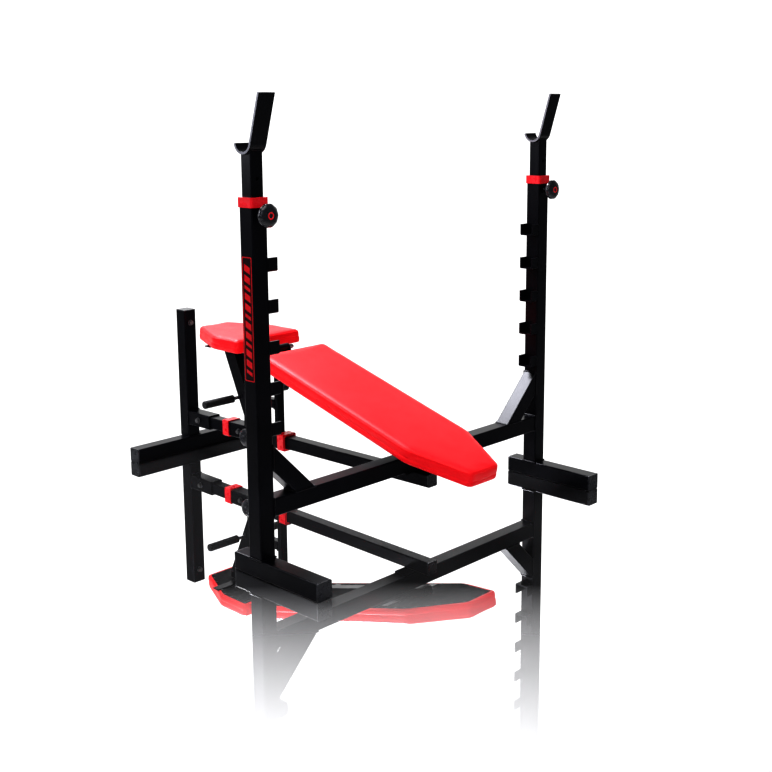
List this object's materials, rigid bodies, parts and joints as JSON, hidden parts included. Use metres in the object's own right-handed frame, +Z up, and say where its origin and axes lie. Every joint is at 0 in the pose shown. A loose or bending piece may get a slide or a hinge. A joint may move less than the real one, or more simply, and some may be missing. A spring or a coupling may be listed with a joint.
{
  "type": "olympic bench press",
  "caption": "Olympic bench press rack with height-adjustable bar hooks, fixed bar catches, a hinged backrest and a seat carriage that slides on the central beam",
  "frame": {"origin": "on the floor, under the centre of the bounding box", "axes": "+X across the rack between the two uprights, +Y from the rack towards the seat and the rear foot, +Z up"},
  "size_m": [1.2507, 1.4259, 1.2658],
  "materials": {
    "painted_tube": "black satin powder coat on square steel tube",
    "red_plastic": "glossy red moulded nylon guide collars",
    "black_plastic": "black moulded plastic knobs and tube end caps",
    "red_vinyl": "red satin vinyl upholstery with a sewn edge",
    "board": "black-stained plywood backing board",
    "zinc_steel": "zinc-plated bolts and hinge pin",
    "chrome_rod": "polished chrome rod",
    "grip_rubber": "black rubber grip"
  },
  "bodies": {
    "frame": {"left_upright": "painted_tube", "left_collar": "red_plastic", "left_foot": "painted_tube", "left_foot_front_cap": "black_plastic", "left_foot_rear_cap": "black_plastic", "left_brace": "painted_tube", "left_catch_1": "painted_tube", "left_catch_2": "painted_tube", "left_catch_3": "painted_tube", "left_catch_4": "painted_tube", "left_catch_5": "painted_tube", "right_upright": "painted_tube", "right_collar": "red_plastic", "right_foot": "painted_tube", "right_foot_front_cap": "black_plastic", "right_foot_rear_cap": "black_plastic", "right_brace": "painted_tube", "right_catch_1": "painted_tube", "right_catch_2": "painted_tube", "right_catch_3": "painted_tube", "right_catch_4": "painted_tube", "right_catch_5": "painted_tube", "crossbar": "painted_tube", "beam_saddle": "painted_tube", "central_beam": "painted_tube", "beam_front_cap": "black_plastic", "rear_socket": "painted_tube", "rear_socket_bolt": "zinc_steel", "rear_post": "painted_tube", "rear_post_cap": "black_plastic", "rear_post_bolt": "zinc_steel", "rear_foot": "painted_tube", "rear_foot_left_cap": "black_plastic", "rear_foot_right_cap": "black_plastic"},
    "left_rack": {"left_post": "painted_tube", "left_hook": "painted_tube"},
    "right_rack": {"right_post": "painted_tube", "right_hook": "painted_tube"},
    "left_clamp": {"left_knob": "black_plastic"},
    "right_clamp": {"right_knob": "black_plastic"},
    "carriage_clamp": {"carriage_knob": "black_plastic"},
    "carriage": {"carriage_sleeve": "painted_tube", "carriage_front_collar": "red_plastic", "carriage_rear_collar": "red_plastic", "carriage_stop_bolt": "zinc_steel", "seat_strut": "painted_tube", "seat_front_post": "painted_tube", "seat_tie": "painted_tube", "foot_hold_rod": "chrome_rod", "foot_hold_grip_left": "grip_rubber", "foot_hold_grip_right": "grip_rubber", "seat_frame": "painted_tube", "seat_board": "board", "seat_pad": "red_vinyl"},
    "backrest": {"backrest_pad": "red_vinyl", "backrest_board": "board", "backrest_frame": "painted_tube", "hinge_pin": "zinc_steel"}
  },
  "joints": [
    {"name": "left_rack_height", "type": "slide", "parent": "frame", "child": "left_rack", "axis": [0, 0, 1], "range_m": [-0.09, 0.18]},
    {"name": "right_rack_height", "type": "slide", "parent": "frame", "child": "right_rack", "axis": [0, 0, 1], "range_m": [-0.09, 0.18]},
    {"name": "left_pin_pull", "type": "slide", "parent": "frame", "child": "left_clamp", "axis": [0, -1, 0], "range_m": [0, 0.012], "stiffness_N_per_m": 900},
    {"name": "right_pin_pull", "type": "slide", "parent": "frame", "child": "right_clamp", "axis": [0, -1, 0], "range_m": [0, 0.012], "stiffness_N_per_m": 900},
    {"name": "carriage_slide", "type": "slide", "parent": "frame", "child": "carriage", "axis": [0, -0.9999, 0.0142], "range_m": [0, 0.24]},
    {"name": "carriage_pin_pull", "type": "slide", "parent": "carriage", "child": "carriage_clamp", "axis": [-1, 0, 0], "range_m": [0, 0.012], "stiffness_N_per_m": 900},
    {"name": "backrest_hinge", "type": "hinge", "parent": "carriage", "child": "backrest", "pos_m": [0, 0.16099, 0.4457], "axis": [-1, 0, 0], "range_deg": [0, 80]}
  ]
}
